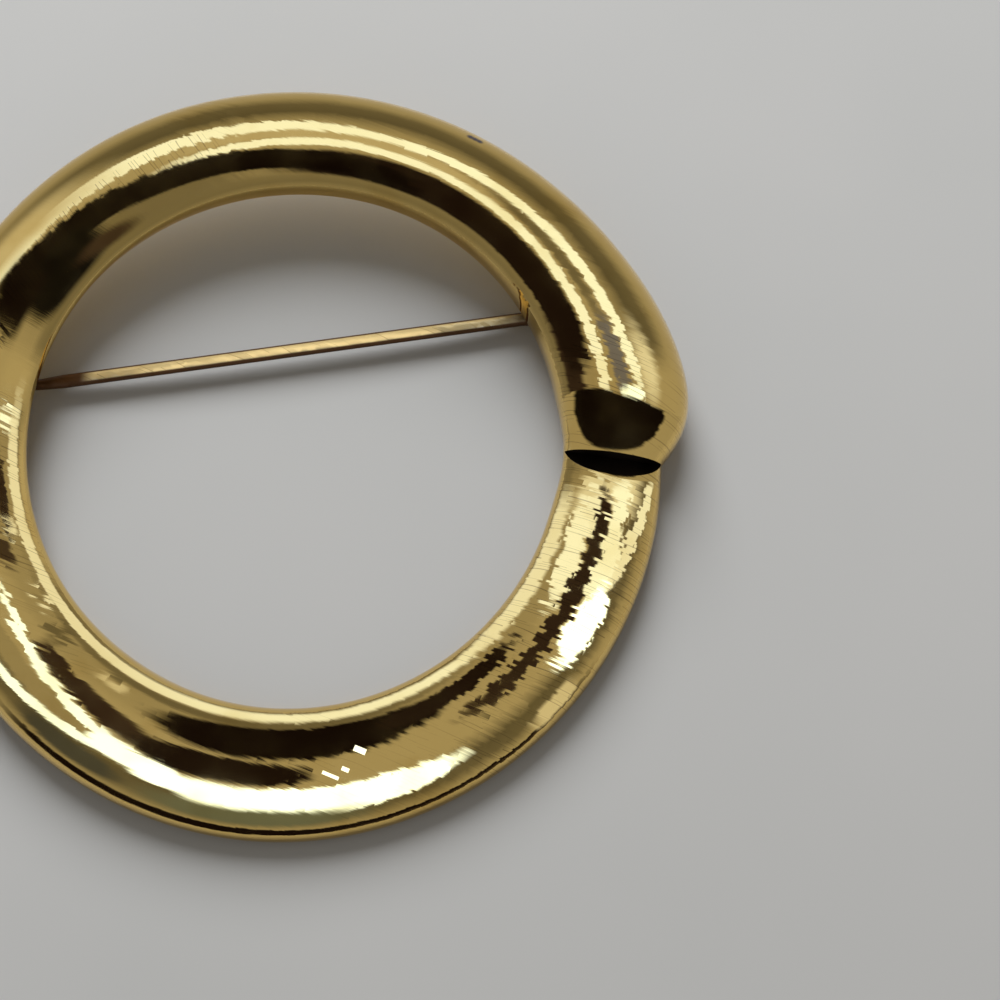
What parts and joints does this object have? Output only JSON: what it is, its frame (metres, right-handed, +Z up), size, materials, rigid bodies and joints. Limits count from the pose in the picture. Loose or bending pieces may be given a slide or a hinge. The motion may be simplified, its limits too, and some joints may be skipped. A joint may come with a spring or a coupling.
{
  "type": "circle brooch",
  "caption": "Circle brooch: a domed gold-tone ring whose rounded nose meets a lower tail, with a hinged pin stem across its back and a catch for the pin's point.",
  "frame": {"origin": "middle of the bounding box's bottom, on the table that the brooch lies on", "axes": "+Z up from the table, out of the ring's face but for the 4.3 degrees that the hinge and the catch prop it up; +X towards the notch of the ring, +Y away from the viewer"},
  "size_m": [0.0474, 0.0462, 0.0065],
  "materials": {
    "gilt_ring": "polished, with fine scratches across the band",
    "gilt_fittings": "satin",
    "gilt_pin": "satin, drawn along its length"
  },
  "bodies": {
    "brooch": {"ring": "gilt_ring", "hinge_bracket": "gilt_fittings", "hinge_rivet": "gilt_fittings", "catch": "gilt_fittings"},
    "pin": {"pin_stem": "gilt_pin"}
  },
  "joints": [
    {"name": "pin_swing", "type": "hinge", "parent": "brooch", "child": "pin", "pos_m": [0.01728, 0.00946, 0.00102], "axis": [0.1388, -0.9876, -0.074], "range_deg": [0, 70]}
  ]
}
